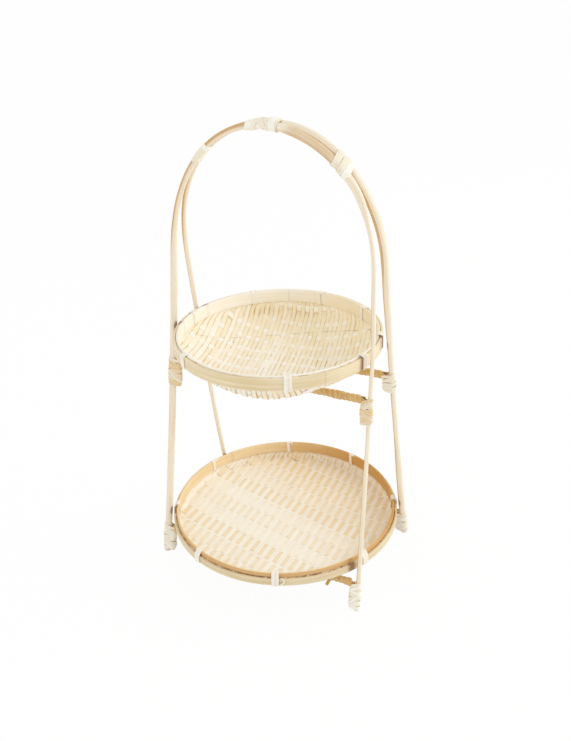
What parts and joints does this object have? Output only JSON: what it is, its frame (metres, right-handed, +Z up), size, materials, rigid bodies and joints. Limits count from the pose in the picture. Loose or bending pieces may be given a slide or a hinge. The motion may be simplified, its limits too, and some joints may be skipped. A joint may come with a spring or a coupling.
{
  "type": "tiered storage rack",
  "caption": "Tiered bamboo rack: round woven trays with split-bamboo rims rest on bound cross bars between splayed cane hoops, lashed together above into an arched carrying handle.",
  "frame": {"origin": "on the floor, midway between the four feet", "axes": "+Z up, X along the span of the hoops, -Y to the front"},
  "size_m": [0.298, 0.298, 0.5538],
  "materials": {
    "cane": "smooth pale peeled cane",
    "bar_cane": "smooth golden cane",
    "golden_peel": "satin split cane skin",
    "cream_peel": "satin bleached cane peel",
    "upper_band": "planed split bamboo",
    "lower_band": "planed split bamboo, a little darker",
    "upper_weave": "woven bamboo splints",
    "lower_weave": "woven bamboo splints"
  },
  "bodies": {
    "stand": {"front_hoop": "cane", "back_hoop": "cane", "upper_front_bar": "bar_cane", "upper_front_bar_wrap": "golden_peel", "upper_front_left_lashing": "cream_peel", "upper_front_right_lashing": "cream_peel", "upper_back_bar": "bar_cane", "upper_back_bar_wrap": "golden_peel", "upper_back_left_lashing": "cream_peel", "upper_back_right_lashing": "cream_peel", "lower_front_bar": "bar_cane", "lower_front_bar_wrap": "golden_peel", "lower_front_left_lashing": "cream_peel", "lower_front_right_lashing": "cream_peel", "lower_back_bar": "bar_cane", "lower_back_bar_wrap": "golden_peel", "lower_back_left_lashing": "cream_peel", "lower_back_right_lashing": "cream_peel", "left_shoulder_lashing": "cream_peel", "crown_lashing": "cream_peel", "right_shoulder_lashing": "cream_peel"},
    "upper_tray": {"upper_outer_band": "upper_band", "upper_inner_band": "upper_band", "upper_mat": "upper_weave", "upper_binding_1": "cream_peel", "upper_binding_2": "cream_peel", "upper_binding_3": "cream_peel", "upper_binding_4": "cream_peel", "upper_binding_5": "cream_peel", "upper_binding_6": "cream_peel", "upper_binding_7": "cream_peel", "upper_binding_8": "cream_peel"},
    "lower_tray": {"lower_outer_band": "lower_band", "lower_inner_band": "lower_band", "lower_mat": "lower_weave", "lower_binding_1": "cream_peel", "lower_binding_2": "cream_peel", "lower_binding_3": "cream_peel", "lower_binding_4": "cream_peel", "lower_binding_5": "cream_peel", "lower_binding_6": "cream_peel", "lower_binding_7": "cream_peel", "lower_binding_8": "cream_peel"}
  },
  "joints": [
    {"name": "upper_tray_slide", "type": "slide", "parent": "stand", "child": "upper_tray", "axis": [0, -1, 0], "range_m": [-0.2, 0.2]},
    {"name": "lower_tray_turn", "type": "hinge", "parent": "stand", "child": "lower_tray", "pos_m": [0, 0, 0.041], "axis": [0, 0, 1], "continuous": true}
  ]
}
